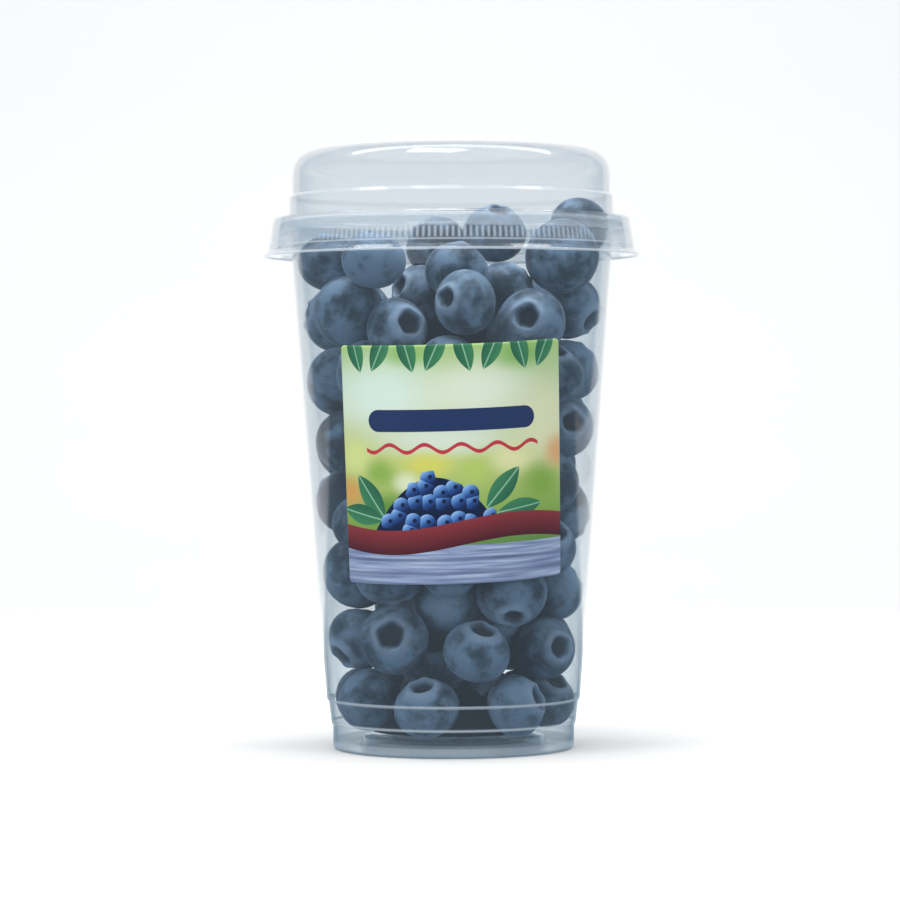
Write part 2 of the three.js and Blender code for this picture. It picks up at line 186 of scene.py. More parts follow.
# One berry's ends and its waves. Slants from the blossom end in radians, the rest in shares of its radius.
CROWN_SLANT = 0.62
BLOSSOM_SLANT = 1.2
LOBES = 5
LOBE_REACH = 0.015
LOBE_RISE = 0.55
RIDGE_AT = 0.41
RIDGE_WIDTH = 0.075
RIDGE_RISE = 0.05
FLARE_OUT = 0.1
FLARE_WIDTH = 0.1
FLARE_RISE = 0.015
HOLLOW_IN = 0.12
HOLLOW_EDGE = 0.022
HOLLOW_DEPTH = 0.2
TWO_WAVES = 0.012
THREE_WAVES = 0.008
DIMPLE_WIDTH = 0.13
DIMPLE_DEPTH = 0.07
PALE_OUT = 0.05
PALE_WIDTH = 0.11

# The painted shade deep in the heap, a near-black turned core: radius, height and fillet of each corner of
# its section, in millimetres.
HEAP_CORE = (
    (0, 8.5, 0), (20, 7.5, 1), (22, 5.2, 0.5), (24, 5.2, 0.5), (24, 7.5, 1), (10, 20.5, 3), (10, 132, 2),
    (6, 138, 2), (0, 138, 0),
)

# The paper, in metres: its reach to the front and sides and to the back, the height and bend of its ends,
# where the part behind the cup starts, and its half width. Only that part shows in the walls' mirror.
PAPER_REACH = 2.2
PAPER_BACK = 1.3
PAPER_TOP = 1.6
PAPER_BEND = 0.6
PAPER_START = 0.33
PAPER_HALF = 0.95

# Each light's name, place, size, power in watts, target, and whether it shows in the walls' mirror. Metres.
LIGHTS = (
    ("top_light", (0, -0.1, 1.1), (1.1, 0.9), 18, (0, 0, 0.08), False),
    ("key_light", (-0.12, -0.25, 1.1), (0.45, 0.35), 3, (0, 0, 0.08), True),
    ("left_light", (-0.9, -0.7, 0.2), (0.5, 0.6), 9, (0, 0, 0.03), False),
    ("right_light", (0.9, -0.7, 0.2), (0.5, 0.6), 7, (0, 0, 0.03), False),
    ("paper_light", (0, 0.3, 1.3), (2.0, 0.5), 16, (0, 1.3, 0.35), True),
)
SKY = "9DB8CE"
SKY_STRENGTH = 0.6
SENSOR_MM = 36
CAMERA_ASIDE = -0.7 * MM
CAMERA_ROLL = -0.25 * DEGREE
BOUNCES_THROUGH = 48


def linear(code):
    """A hex sRGB colour as linear RGBA."""
    channels = [int(code[i : i + 2], 16) / 255 for i in (0, 2, 4)]
    return [c / 12.92 if c <= 0.04045 else ((c + 0.055) / 1.055) ** 2.4 for c in channels] + [1.0]


def length(name, words, default):
    """A size property, in metres, from a size in millimetres."""
    return FloatProperty(name=name, description=words, default=default * MM, unit="LENGTH", precision=5)


def colour(name, words, code):
    """A colour property from a hex sRGB colour."""
    return FloatVectorProperty(
        name=name, description=words, default=linear(code), size=4, subtype="COLOR", min=0, max=1
    )


class CupSizes(PropertyGroup):
    wall: length("Wall", "Thickness of the formed sheet", 0.5)
    recess_radius: length("Raised floor radius", "Where the raised floor meets the foot ring", 25.9)
    recess_height: length("Raised floor height", "Height of the underside of the floor", 3.4)
    foot_radius: length("Foot radius", "Outside of the foot", 34.9)
    foot_height: length("Foot height", "Top of the straight foot wall", 7.4)
    step_radius: length("Step radius", "Where the tapered wall starts", 36.5)
    step_height: length("Step height", "Height of the stacking step", 13.8)
    neck_radius: length("Neck radius", "Top of the tapered wall", 46.9)
    neck_height: length("Neck height", "Height of the top of the tapered wall", 150.8)
    rim_radius: length("Rim radius", "Outside of the rolled rim", 49.9)
    rim_height: length("Rim height", "Top of the rolled rim", 152.4)
    rim_drop: length("Rim drop", "How far the rim hangs down outside", 3.0)


class LidSizes(PropertyGroup):
    wall: length("Wall", "Thickness of the formed sheet", 0.5)
    top: length("Top", "Height of the flat crown", 173.0)
    crown_fillet: length("Crown rounding", "Radius of the rounded edge of the crown", 7.0)
    dome_radius: length("Dome radius", "Outside of the dome's wall", 46.1)
    bead_height: length("Bead height", "Height of the step out under the dome", 160.2)
    collar_radius: length("Collar radius", "Outside of the collar under the bead", 47.0)
    shoulder_height: length("Shoulder height", "Top of the shoulder over the cup's rim", 153.5)
    shoulder_radius: length("Shoulder radius", "Outside of the shoulder", 51.5)
    skirt_radius: length("Skirt radius", "Bottom of the skirt", 53.1)
    skirt_height: length("Skirt height", "Height of the bottom of the skirt", 143.9)
    flange_radius: length("Flange radius", "Outside of the flange", 54.2)
    flange_height: length("Flange height", "Underside of the flange", 142.2)
    ribs: IntProperty(name="Ribs", description="Fine upright ribs round the skirt", default=200, min=1)
    tab_width: length("Tab width", "Width of the lift tab", 7.2)
    tab_drop: length("Tab drop", "How far the lift tab hangs below the flange", 3.9)


class LabelLook(PropertyGroup):
    width: length("Width", "Width along the wall", 66.2)
    height: length("Height", "Height along the wall", 67.0)
    corner: length("Corner radius", "Rounding of the corners", 1.2)
    middle: length("Middle height", "Height of the label's middle", 82.8)
    thickness: length("Thickness", "Thickness of the printed film", 0.25)
    gap: length("Gap", "Distance from the cup's wall", 0.3)
    turn: FloatProperty(
        name="Turn", description="How far it is stuck on askew", default=1.6 * DEGREE, subtype="ANGLE"
    )
    navy: colour("Bar", "The plain bar across the upper half", "24335A")
    red: colour("Ribbon", "The ribbon under the berries", "8C3234")
    wave: colour("Wave", "The thin wave under the bar", "C03640")
    leaf: colour("Leaves", "The leaves", "3F7F54")


class BerryLook(PropertyGroup):
    seed: IntProperty(name="Seed", description="Another seed gives another heap", default=23, min=1)
    bloom: colour("Bloom", "The waxy bloom on the skin", "74899E")
    skin: colour("Skin", "The bare skin where the bloom is rubbed off", "1A2530")
    hollow: colour("Blossom end", "The bottom of the hollow in the blossom end", "14161F")


class StageLook(PropertyGroup):
    paper: colour("Paper", "The seamless paper floor", "D0CDCA")
    lens: FloatProperty(name="Lens", description="Focal length on a 36 mm sensor", default=139.6)
    distance: length("Distance", "From the camera to the cup's axis", 1012)
    eye_height: length("Eye height", "Height of the camera", 99.6)
    aim_height: length("Aim height", "Height on the cup's axis at the middle of the picture", 86.3)


def node(tree, kind, settings=None, inputs=None):
    """Adds a node with its settings. An input is filled with a value, a socket or a node's first output."""
    made = tree.nodes.new(kind)
    for name, value in (settings or {}).items():
        setattr(made, name, value)
    for name, value in (inputs or {}).items():
        if isinstance(value, bpy.types.Node):
            value = value.outputs[0]
        if isinstance(value, bpy.types.NodeSocket):
            tree.links.new(value, made.inputs[name])
        else:
            made.inputs[name].default_value = value
    return made


def mapped(value, low, high, to_low=0.0, to_high=1.0):
    """The inputs that map a value's range from low to high onto another range."""
    return {"Value": value, "From Min": low, "From Max": high, "To Min": to_low, "To Max": to_high}


def ramp(tree, factor, stops):
    """A colour ramp from stops, each a place and a hex colour or a plain number for a grey."""
    made = node(tree, "ShaderNodeValToRGB", inputs={0: factor})
    while len(made.color_ramp.elements) < len(stops):
        made.color_ramp.elements.new(1)
    for element, (place, code) in zip(made.color_ramp.elements, stops):
        element.position = place
        element.color = linear(code) if isinstance(code, str) else (code, code, code, 1)
    return made


def new_material(name):
    """An empty node material and its tree."""
    material = bpy.data.materials.new(name)
    material.use_nodes = True
    material.node_tree.nodes.clear()
    return material, material.node_tree


def finished(material, kind, inputs):
    """The material with its surface, a shader of a kind with its inputs."""
    shader = node(material.node_tree, kind, inputs=inputs)
    node(material.node_tree, "ShaderNodeOutputMaterial", inputs={"Surface": shader})
    return material


def plain_material(name, base, roughness):
    """A material of one colour."""
    return finished(new_material(name)[0], PRINCIPLED, {"Base Color": base, "Roughness": roughness})


def vectors(x, y, z):
    """Vectors from their parts, each a number, a row, a column or a grid."""
    return np.stack(np.broadcast_arrays(x, y, z), axis=-1)


def round_axis(radius, height, angle):
    """Places at a radius and height, turned from the front towards +X by an angle."""
    return vectors(radius * np.sin(angle), -radius * np.cos(angle), height)


def in_a_row(values, kind):
    """All the values of an array in one row, as Blender reads them."""
    return np.ascontiguousarray(values, dtype=kind).ravel()


def put_mesh(name, places, corners, sides, materials):
    """A mesh object from places, the vertex numbers of all faces in a row, and each face's side count."""
    mesh = bpy.data.meshes.new(name)
    mesh.vertices.add(len(places))
    mesh.vertices.foreach_set("co", in_a_row(places, np.float32))
    mesh.loops.add(len(corners))
    mesh.loops.foreach_set("vertex_index", in_a_row(corners, np.int32))
    mesh.polygons.add(len(sides))
    mesh.polygons.foreach_set("loop_start", in_a_row(np.cumsum(sides) - sides, np.int32))
    mesh.polygons.foreach_set("loop_total", in_a_row(sides, np.int32))
    mesh.polygons.foreach_set("use_smooth", np.ones(len(sides), dtype=bool))
    mesh.update()
    mesh.validate()
    for material in materials:
        mesh.materials.append(material)
    made = bpy.data.objects.new(name, mesh)
    bpy.context.scene.collection.objects.link(made)
    return made


def rounded_path(corners):
    """Straight runs between corners (radius, height, fillet), with each inner corner replaced by an arc.

    The arc starts and ends fillet * tan(half the turn) from the corner, and turns about the point that lies
    one fillet off on the side that the path turns to.
    """
    points = np.array([c[:2] for c in corners], dtype=float)
    runs = np.diff(points, axis=0)
    runs /= np.linalg.norm(runs, axis=1)[:, None]
    path = [points[:1]]
    for corner, before, after, (_, _, fillet) in zip(points[1:-1], runs, runs[1:], corners[1:-1]):
        turn = math.atan2(before[0] * after[1] - before[1] * after[0], before @ after)
        start = corner - before * fillet * math.tan(abs(turn) / 2)
        side = math.copysign(1, turn) * np.array([-before[1], before[0]])
        angle = np.linspace(0, turn, FILLET_STEPS)
        cos, sin = np.cos(angle)[:, None], np.sin(angle)[:, None]
        arm = -side * fillet
        path.append(start + side * fillet + cos * arm + sin * np.array([-arm[1], arm[0]]))
    path.append(points[-1:])
    return np.concatenate(path)


def beside(path, distance):
    """The path moved to its left by distance: each point goes along the mean of its two runs' normals."""
    runs = np.diff(path, axis=0)
    runs /= np.linalg.norm(runs, axis=1)[:, None]
    normals = np.stack([-runs[:, 1], runs[:, 0]], axis=1)
    before = np.concatenate((normals[:1], normals))
    after = np.concatenate((normals, normals[-1:]))
    mean = before + after
    mean /= (mean * before).sum(axis=1)[:, None]
    moved = path + distance * mean
    moved[path[:, 0] == 0, 0] = 0
    return moved


def turned_shell(name, outline, wall, material):
    """A thin wall turned round the Z axis.

    The outline runs from the axis to the free edge. With wall positive the wall lies on its left, and with
    wall negative on its right. The section is the outline out and its offset back.
    """
    return turned_solid(name, np.concatenate((outline, beside(outline, wall)[::-1])), material)


def turned_solid(name, section, material):
    """A closed section, from the axis to the axis, turned round the Z axis.

    The point at row i and column j has the section's radius and height there, and turn 2 pi j / TURN_STEPS.
    """
    section = section[::-1] if section_area(section) < 0 else section
    radius, height = section[1:-1].T[..., None]
    rings = round_axis(radius, height, np.arange(TURN_STEPS) * (2 * math.pi / TURN_STEPS))
    places = np.concatenate((rings.reshape(-1, 3), [[0, 0, section[0, 1]], [0, 0, section[-1, 1]]]))
    return put_mesh(name, places, *ring_faces(len(radius), TURN_STEPS), [material])


def ring_faces(rings, columns, flip=False):
    """Faces between rings, and fans from the end rings to two points, which are numbered after the rings.

    Returns the vertex numbers of all faces in a row, and each face's side count. Flip turns the faces over.
    """
    row = np.arange(rings)[:, None] * columns
    here = np.arange(columns)
    there = (here + 1) % columns
    quads = np.stack([row[:-1] + here, row[:-1] + there, row[1:] + there, row[1:] + here], axis=2)
    point = np.full(columns, rings * columns)
    fans = np.stack([[point, there, here], [row[-1] + here, row[-1] + there, point + 1]]).swapaxes(1, 2)
    if flip:
        quads, fans = quads[..., [0, 3, 2, 1]], fans[..., [0, 2, 1]]
    sides = np.repeat((4, 3), (quads.size // 4, fans.size // 3))
    return np.concatenate((quads.ravel(), fans.ravel())), sides


def section_area(section):
    """Twice the signed area of a closed section: positive where the solid lies on the left."""
    ahead = np.roll(section, -1, axis=0)
    return (section[:, 0] * ahead[:, 1] - ahead[:, 0] * section[:, 1]).sum()


def clear_sheet(name, tint, milky, ribs=0):
    """Clear PET sheet, thermoformed: it mirrors most at its edges, and is milky in bands.

    Each face of the wall lets light straight through, apart from its mirror share, which rises with the
    fifth power of the slant, and its milky share, which follows the height and the ribs.
    """
    material, tree = new_material(name)
    slant = node(tree, "ShaderNodeLayerWeight", inputs={"Blend": 0.5}).outputs["Facing"]
    steep = node(tree, MATH, {"operation": "POWER"}, {0: slant, 1: 5.0})
    mirror = node(tree, MATH, MULTIPLY_ADD, {0: steep, 1: 1 - MIRROR_FACE_ON, 2: MIRROR_FACE_ON})
    place = node(tree, "ShaderNodeTexCoord").outputs["Object"]
    split = node(tree, SPLIT, inputs={0: place})
    milk = milk_by_height(tree, split.outputs["Z"], milky)
    if ribs:
        milk = node(tree, MATH, ADD, {0: milk, 1: rib_milk(tree, split, ribs)})
    through = node(tree, "ShaderNodeBsdfTransparent", inputs={"Color": tint})
    scatter = node(tree, "ShaderNodeBsdfDiffuse", inputs={"Color": linear("E2E6EA")})
    body = node(tree, "ShaderNodeMixShader", inputs={0: milk, 1: through, 2: scatter})
    white = {"Color": (1, 1, 1, 1), "Roughness": SHEET_ROUGHNESS}
    gloss = node(tree, "ShaderNodeBsdfAnisotropic", inputs=white)
    return finished(material, "ShaderNodeMixShader", {0: mirror, 1: body, 2: gloss})


def milk_by_height(tree, height, stops):
    """The milky share at each height, in straight runs between (height in mm, share) stops."""
    low, high = stops[0][0], stops[-1][0]
    along = node(tree, MAP_RANGE, inputs=mapped(height, low * MM, high * MM))
    return ramp(tree, along, [((level - low) / (high - low), share) for level, share in stops])


def rib_milk(tree, split, ribs):
    """The ribs' own milky share: a wave of the angle round the axis, inside the ribs' band of height."""
    angle = node(tree, MATH, {"operation": "ARCTAN2"}, {0: split.outputs["Y"], 1: split.outputs["X"]})
    phase = node(tree, MATH, MULTIPLY, {0: angle, 1: float(ribs)})
    wave = node(tree, MATH, SINE, {0: phase})
    crest = node(tree, MAP_RANGE, SMOOTH, mapped(wave, -0.3, 0.7, 0.0, RIB_SHARE))
    band = milk_by_height(tree, split.outputs["Z"], RIB_BAND)
    return node(tree, MATH, MULTIPLY, {0: band, 1: crest})


def cup_outline(sizes):
    """The cup's outside from the middle of its floor to the lip of its rim: radius, height and fillet."""
    s = sizes
    ledge = 0.4 * MM
    return rounded_path((
        (0, s.recess_height, 0),
        (s.recess_radius, s.recess_height, 0.6 * MM),
        (s.recess_radius + 1.0 * MM, 0, 0.75 * MM),
        (s.foot_radius, 0, 1.4 * MM),
        (s.foot_radius, s.foot_height - ledge, 0.3 * MM),
        (s.foot_radius + ledge, s.foot_height, 0.6 * MM),
        (s.step_radius - ledge, s.step_height, 0.3 * MM),
        (s.step_radius + 0.1 * MM, s.step_height + 1.6 * ledge, 0.6 * MM),
        (s.neck_radius, s.neck_height, 0.5 * MM),
        (s.neck_radius + 0.2 * MM, s.rim_height - s.wall, 0.3 * MM),
        (s.rim_radius - s.wall, s.rim_height - s.wall, 0.5 * MM),
        (s.rim_radius - s.wall, s.rim_height - s.rim_drop, 0),
    ))


def lid_outline(sizes):
    """The lid's outside from the middle of its crown to its flange's edge: radius, height and fillet."""
    s = sizes
    return rounded_path((
        (0, s.top, 0),
        (s.dome_radius, s.top, s.crown_fillet),
        (s.dome_radius, s.bead_height, 0.3 * MM),
        (s.collar_radius, s.bead_height - 0.8 * MM, 0.65 * MM),
        (s.collar_radius, s.shoulder_height, 0.6 * MM),
        (s.shoulder_radius, s.shoulder_height, 0.9 * MM),
        (s.skirt_radius, s.skirt_height, 0.4 * MM),
        (s.flange_radius, s.flange_height + 0.7 * MM, 0.65 * MM),
        (s.flange_radius, s.flange_height, 0),
    ))


class PUNNET_OT_cup(Operator):
    """Makes the clear cup in place of its CAD solid"""

    bl_idname = "punnet.cup"
    bl_label = "Cup"

    def execute(self, context):
        sizes = context.scene.punnet_cup
        sheet = clear_sheet("clear PET sheet, cup", CUP_TINT, CUP_MILK)
        cup = turned_shell("clear_cup", cup_outline(sizes), sizes.wall, sheet)
        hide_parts("cup")
        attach(cup, BODY)
        return {"FINISHED"}


class PUNNET_OT_lid(Operator):
    """Makes the clear dome lid and its lift tab in place of their CAD solid"""

    bl_idname = "punnet.lid"
    bl_label = "Lid"

    def execute(self, context):
        sizes = context.scene.punnet_lid
        sheet = clear_sheet("clear PET sheet, lid", LID_TINT, LID_MILK, sizes.ribs)
        lid = turned_shell("clear_lid", lid_outline(sizes), -sizes.wall, sheet)
        tab = lift_tab(sizes, sheet)
        for piece in (lid, tab):
            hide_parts("lid")
            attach(piece, BODY)
        return {"FINISHED"}


def lift_tab(sizes, sheet):
    """The tab under the flange: a curved plate whose lower edge is half of a rounded box.

    At s from -1 to 1 across, its depth is the drop times (1 - |s| ** n) ** (1 / n), where n is its
    squareness, and the plate follows the flange's circle. It runs a little way into the flange.
    """
    across = np.sin(np.linspace(-math.pi / 2, math.pi / 2, TAB_COLUMNS))
    down = np.linspace(0, 1, TAB_ROWS)[:, None]
    into = 0.1 * MM
    radius = sizes.skirt_radius + into
    angle = TAB_TURN * DEGREE + across * sizes.tab_width / 2 / radius
    depth = sizes.tab_drop * (1 - np.abs(across) ** TAB_SQUARENESS) ** (1 / TAB_SQUARENESS)
    places = round_axis(radius, sizes.flange_height + into - down * depth, angle)
    tab = grid_piece("lid_tab", places, [sheet], flip=True)
    tab.modifiers.new("sheet", "SOLIDIFY").thickness = sizes.wall
    return tab


def grid_piece(name, places, materials, flip=False):
    """A sheet from a grid of places, rows by columns. Its faces are turned over if flip is set."""
    rows, columns = places.shape[:2]
    number = np.arange(rows * columns).reshape(rows, columns)
    quads = np.stack([number[:-1, :-1], number[:-1, 1:], number[1:, 1:], number[1:, :-1]], axis=2)
    quads = quads.reshape(-1, 4)[:, :: -1 if flip else 1]
    return put_mesh(name, places.reshape(-1, 3), quads.ravel(), np.full(len(quads), 4), materials)


class PUNNET_OT_label(Operator):
    """Makes the printed label in place of its CAD solid"""

    bl_idname = "punnet.label"
    bl_label = "Label"

    def execute(self, context):
        look = context.scene.punnet_label
        # The label's adhesive side is plain white film.
        backing = plain_material("white film backing", linear("D9DCDA"), 0.6)
        label = label_sheet(look, context.scene.punnet_cup, [printed_film(look), backing])
        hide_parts("front_label")
        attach(label, BODY)
        return {"FINISHED"}


def label_sheet(look, cup, materials):
    """A square with rounded corners, rolled onto the tapered wall about the point its sides would meet in.

    A point (u, v) of the flat label is turned by the label's turn. Its distance from the meeting point gives
    its height on the wall. Its angle there, divided by the sine of the taper, gives its turn round the axis.
    """
    draft = wall_draft(cup)
    taper = math.atan(draft)
    half_width, half_height = look.width / 2, look.height / 2
    u = half_width * np.sin(np.linspace(-math.pi / 2, math.pi / 2, LABEL_STEPS))
    into = np.maximum(np.abs(u) - (half_width - look.corner), 0)
    reach = half_height - look.corner + np.sqrt(np.maximum(look.corner**2 - into**2, 0))
    v = np.linspace(-1, 1, LABEL_STEPS)[:, None] * reach
    u = np.broadcast_to(u, v.shape)
    across = u * math.cos(look.turn) - v * math.sin(look.turn)
    up = u * math.sin(look.turn) + v * math.cos(look.turn)
    middle_radius = cup.step_radius + draft * (look.middle - cup.step_height)
    to_point = middle_radius / math.sin(taper)
    along = np.hypot(across, to_point + up)
    angle = np.arctan2(across, to_point + up) / math.sin(taper)
    radius = along * math.sin(taper) + look.gap + look.thickness
    height = look.middle + (along - to_point) * math.cos(taper)
    label = grid_piece("printed_label", round_axis(radius, height, angle), materials)
    flat = np.stack([u / look.width + 0.5, v / look.height + 0.5], axis=2).reshape(-1, 2)
    layer = label.data.uv_layers.new(name="print")
    corners = np.empty(len(label.data.loops), dtype=np.int32)
    label.data.loops.foreach_get("vertex_index", corners)
    layer.data.foreach_set("uv", in_a_row(flat[corners], np.float32))
    film = label.modifiers.new("film", "SOLIDIFY")
    film.thickness = look.thickness
    film.offset = -1
    film.material_offset = 1
    return label


def within(tree, art, centre, half, turn=0.0):
    """The art's place in a shape's own frame: centred, turned back and divided by its half sizes, in mm."""
    return node(
        tree, "ShaderNodeMapping", {"vector_type": "TEXTURE"},
        {"Vector": art, "Location": (*centre, 0), "Rotation": (0, 0, turn * DEGREE), "Scale": (*half, 1)},
    )


def paint(tree, mask, under, over):
    """The colour over where the mask is 1, and under where it is 0."""
    mixed = node(tree, "ShaderNodeMix", {"data_type": "RGBA"}, {"Factor": mask, "A": under, "B": over})
    return mixed.outputs["Result"]


def printed_film(look):
    """Polypropylene label film, offset printed and satin varnished: even ink, a soft sheen, no texture."""
    material, tree = new_material("printed polypropylene film")
    flat = node(tree, "ShaderNodeUVMap", {"uv_map": "print"})
    width, height = look.width / MM, look.height / MM
    to_middle = (-width / 2, -height / 2, 0)
    art = node(tree, VECTOR_MATH, MULTIPLY_ADD, {0: flat, 1: (width, height, 0), 2: to_middle})
    ink = garden_field(tree, art)
    ink = plank_band(tree, art, ink)
    # The leaves along the top lean to the left and right by turns.
    leaning = zip(TOP_LEAVES, TOP_LEAF_TURNS * len(TOP_LEAVES))
    top_row = [((x, TOP_LEAVES_HEIGHT), TOP_LEAF_HALF, turn) for x, turn in leaning]
    for centre, half, turn in (*top_row, *SPRIGS):
        ink = leaf(tree, art, ink, look.leaf, centre, half, turn)
    ink = berry_heap(tree, art, ink)
    ink = ribbon(tree, art, ink, look.red)
    ink = bar(tree, art, ink, look.navy)
    ink = wave_line(tree, art, ink, look.wave)
    return finished(material, PRINCIPLED, {"Base Color": ink, "Roughness": 0.38, "Coat Weight": 0.25})


def garden_field(tree, art):
    """A blurred garden: a green field that pales upwards, with soft oval spots of other colours."""
    split = node(tree, SPLIT, inputs={0: art})
    rise = node(tree, MAP_RANGE, inputs=mapped(split.outputs["Y"], *GARDEN_REACH))
    greens = ((0, "5C8440"), (0.2, "8CAA50"), (0.45, "C3CB78"), (0.7, "CDD6AC"), (1, "A9C47C"))
    field = ramp(tree, rise, greens)
    for centre, half, code in GARDEN_SPOTS:
        far = node(tree, VECTOR_MATH, LENGTH, {0: within(tree, art, centre, half)}).outputs["Value"]
        soft = node(tree, MAP_RANGE, SMOOTH, mapped(far, 0.15, 1.15, 0.85, 0.0))
        field = paint(tree, soft, field, linear(code))
    return field


def plank_band(tree, art, under):
    """Weathered lilac-grey planks across the foot of the label, with streaked grain and two dark joints."""
    split = node(tree, SPLIT, inputs={0: art})
    stretched = node(tree, VECTOR_MATH, MULTIPLY, {0: art, 1: (0.05, 1.1, 1)})
    noise = {"Vector": stretched, "Scale": 1.0, "Detail": 3.0}
    grain = node(tree, "ShaderNodeTexNoise", {"noise_dimensions": "2D"}, noise)
    wood = ramp(tree, grain, ((0.3, "717A98"), (0.5, "8F9AB6"), (0.7, "AEB7CC")))
    for joint in PLANK_JOINTS:
        off = node(tree, MATH, SUBTRACT, {0: split.outputs["Y"], 1: joint})
        near = node(tree, MATH, ABSOLUTE, {0: off})
        dark = node(tree, MAP_RANGE, inputs=mapped(near, 0.2, 0.7, 0.6, 0.0))
        wood = paint(tree, dark, wood, linear("525A78"))
    low = node(tree, MATH, LESS_THAN, {0: split.outputs["Y"], 1: PLANKS_TOP})
    return paint(tree, low, under, wood)


def leaf(tree, art, under, green, centre, half, turn):
    """A leaf between two parabolas, |y| < 1 - x * x in its own frame, with a pale midrib."""
    own = node(tree, SPLIT, inputs={0: within(tree, art, centre, half, turn)})
    square = node(tree, MATH, MULTIPLY, {0: own.outputs["X"], 1: own.outputs["X"]})
    side = node(tree, MATH, ABSOLUTE, {0: own.outputs["Y"]})
    edge = node(tree, MATH, ADD, {0: square, 1: side})
    mask = node(tree, MATH, LESS_THAN, {0: edge, 1: 1.0})
    rib = node(tree, MATH, LESS_THAN, {0: side, 1: 0.07})
    shade = node(tree, MAP_RANGE, inputs=mapped(own.outputs["Y"], -0.8, 0.8))
    blade = paint(tree, shade, linear("2C6446"), green)
    return paint(tree, mask, under, paint(tree, rib, blade, linear("8DB894")))


def berry_heap(tree, art, under):
    """A low hill of berries: a dark parabola, and the cells of a Voronoi pattern whose middles lie in it."""
    round_berries = {"Vector": art, "Scale": 0.24, "Randomness": 0.6}
    cells = node(tree, "ShaderNodeTexVoronoi", {"voronoi_dimensions": "2D"}, round_berries)
    shade = hill(tree, art, HEAP_SHADE_TOP)
    body = hill(tree, cells.outputs["Position"], HEAP_TOP)
    round_cell = node(tree, MATH, LESS_THAN, {0: cells.outputs["Distance"], 1: 0.58})
    mask = node(tree, MATH, MULTIPLY, {0: body, 1: round_cell})
    arm = node(tree, VECTOR_MATH, SUBTRACT, {0: art, 1: cells.outputs["Position"]})
    lit = node(
        tree, VECTOR_MATH, {"operation": "DOT_PRODUCT"}, {0: arm, 1: (-0.13, 0.2, 0)}
    ).outputs["Value"]
    level = node(tree, MATH, ADD, {0: lit, 1: 0.5})
    skin = ramp(tree, level, ((0.1, "14224A"), (0.5, "2C4F8C"), (0.85, "6791C8"), (1, "93B4DC")))
    to_crown = node(
        tree, VECTOR_MATH, {"operation": "DISTANCE"}, {0: arm, 1: (0.4, 0.3, 0)}
    ).outputs["Value"]
    crown = node(tree, MATH, LESS_THAN, {0: to_crown, 1: 0.6})
    under = paint(tree, shade, under, linear("111B3A"))
    return paint(tree, mask, under, paint(tree, crown, skin, linear("121D3C")))


def hill(tree, place, level):
    """One where a place lies under a parabola with its top at the level, and over the ribbon; else zero."""
    split = node(tree, SPLIT, inputs={0: place})
    shift = -HEAP_MIDDLE / HEAP_HALF
    aside = node(tree, MATH, MULTIPLY_ADD, {0: split.outputs["X"], 1: 1 / HEAP_HALF, 2: shift})
    fall = node(tree, MATH, MULTIPLY, {0: aside, 1: aside})
    depth = node(tree, MATH, MULTIPLY_ADD, {0: fall, 1: HEAP_FALL, 2: split.outputs["Y"]})
    below = node(tree, MATH, LESS_THAN, {0: depth, 1: level})
    above = node(tree, MATH, LESS_THAN, {0: HEAP_FOOT, 1: split.outputs["Y"]})
    return node(tree, MATH, MULTIPLY, {0: below, 1: above})


def ribbon(tree, art, under, red):
    """A brick-red ribbon across the label, between two waves, darker towards its lower edge."""
    split = node(tree, SPLIT, inputs={0: art})
    level = over_wave(tree, split, RIBBON_PACE, RIBBON_SWING)
    middle, half = (RIBBON_TOP + RIBBON_FOOT) / 2, (RIBBON_TOP - RIBBON_FOOT) / 2
    mask = node(tree, MATH, COMPARE, {0: level, 1: middle, 2: half})
    depth = node(tree, MAP_RANGE, inputs=mapped(level, RIBBON_FOOT, -16.0))
    return paint(tree, mask, under, paint(tree, depth, linear("4A1820"), red))


def over_wave(tree, split, pace, swing):
    """How far a place lies over a wave, Y - swing * sin(pace * X)."""
    phase = node(tree, MATH, MULTIPLY, {0: split.outputs["X"], 1: pace})
    wave = node(tree, MATH, SINE, {0: phase})
    return node(tree, MATH, MULTIPLY_ADD, {0: wave, 1: -swing, 2: split.outputs["Y"]})


def bar(tree, art, under, navy):
    """A plain bar with round ends: every point within its half height of a straight line."""
    split = node(tree, SPLIT, inputs={0: within(tree, art, BAR_MIDDLE, (1, 1))})
    side = node(tree, MATH, ABSOLUTE, {0: split.outputs["X"]})
    past = node(tree, MATH, SUBTRACT, {0: side, 1: BAR_HALF[0]})
    over = node(tree, MATH, {"operation": "MAXIMUM"}, {0: past, 1: 0.0})
    arm = node(tree, "ShaderNodeCombineXYZ", inputs={"X": over, "Y": split.outputs["Y"]})
    far = node(tree, VECTOR_MATH, LENGTH, {0: arm}).outputs["Value"]
    mask = node(tree, MATH, LESS_THAN, {0: far, 1: BAR_HALF[1]})
    return paint(tree, mask, under, navy)


def wave_line(tree, art, under, red):
    """A thin wavy line under the bar: every point within its half width of a sine wave."""
    split = node(tree, SPLIT, inputs={0: within(tree, art, WAVE_MIDDLE, (1, 1))})
    level = over_wave(tree, split, WAVE_PACE, WAVE_SWING)
    thin = node(tree, MATH, COMPARE, {0: level, 1: 0.0, 2: WAVE_HALF[1]})
    short = node(tree, MATH, COMPARE, {0: split.outputs["X"], 1: 0.0, 2: WAVE_HALF[0]})
    mask = node(tree, MATH, MULTIPLY, {0: thin, 1: short})
    return paint(tree, mask, under, red)


def room_radius(height, cup):
    """How far from the axis the berries' room reaches at a height, in millimetres."""
    step, neck = cup.step_radius / MM, cup.neck_radius / MM
    room = step + wall_draft(cup) * (height - cup.step_height / MM)
    return np.minimum(room, neck) - cup.wall / MM - BERRY_GAP


def wall_draft(cup):
    """How much the tapered wall spreads for each millimetre of height."""
    return (cup.neck_radius - cup.step_radius) / (cup.neck_height - cup.step_height)


